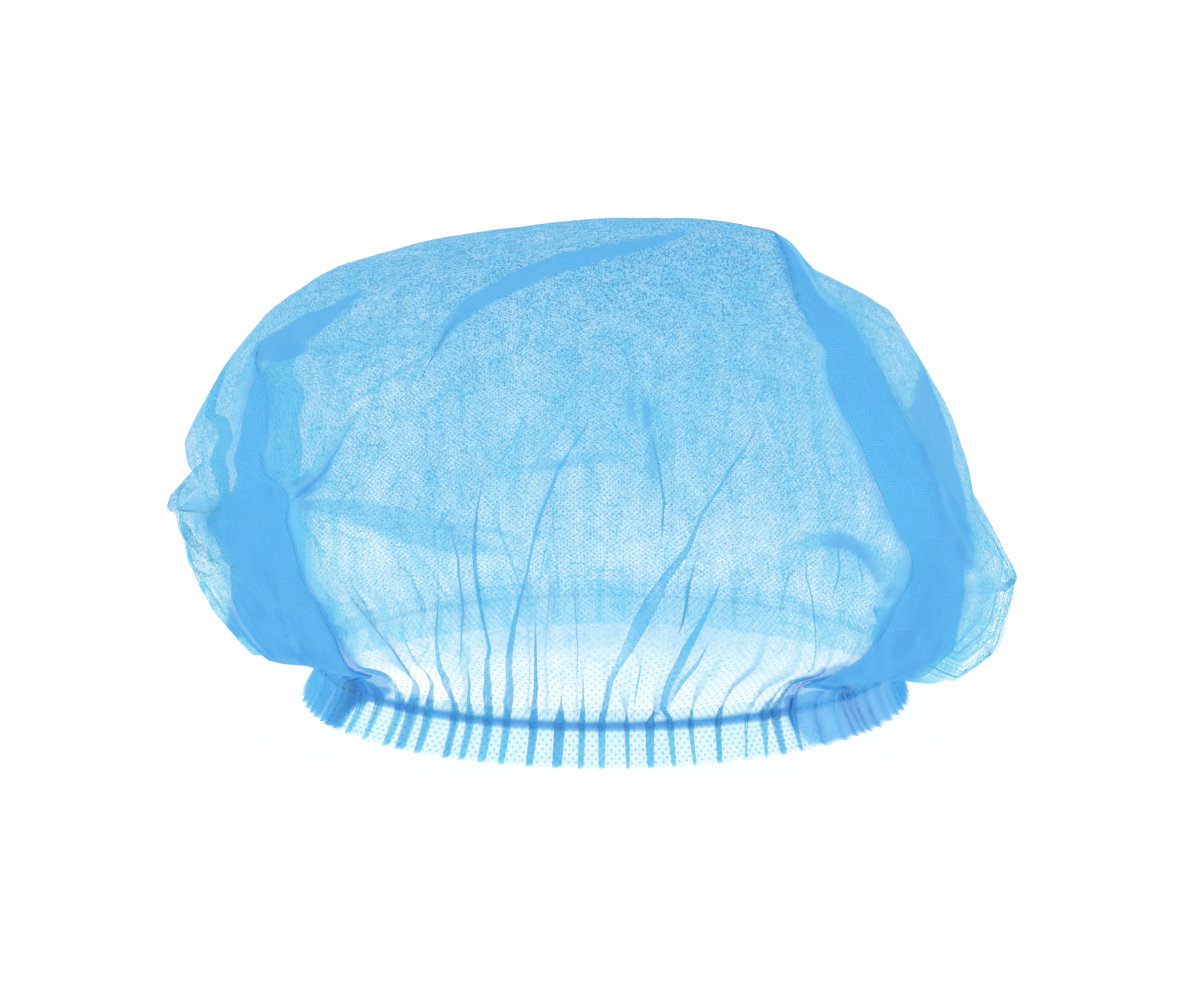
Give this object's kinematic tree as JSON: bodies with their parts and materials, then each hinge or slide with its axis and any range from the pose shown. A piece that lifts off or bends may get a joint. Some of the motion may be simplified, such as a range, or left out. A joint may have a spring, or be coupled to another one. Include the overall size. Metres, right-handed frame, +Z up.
{
  "type": "disposable bouffant cap",
  "caption": "Disposable bouffant hair cap of thin non-woven cloth, gathered on an elastic hem, standing open side down.",
  "frame": {"origin": "middle of the footprint, on the surface that the hem stands on", "axes": "+Z up out of the top of the cap, -Y to its front, +X to the right-hand side as one looks at the front"},
  "size_m": [0.2769, 0.2158, 0.1559],
  "materials": {
    "non_woven_cloth": "sheer pale-blue spun-bonded non-woven cloth with small bonded dots",
    "hem_cloth": "the same sheer cloth, turned up as the hem's second layer",
    "elastic_cord": "thin blue elastic cord, matt"
  },
  "bodies": {
    "root": {"crown": "non_woven_cloth", "turned_hem": "hem_cloth", "elastic": "elastic_cord"}
  },
  "joints": []
}
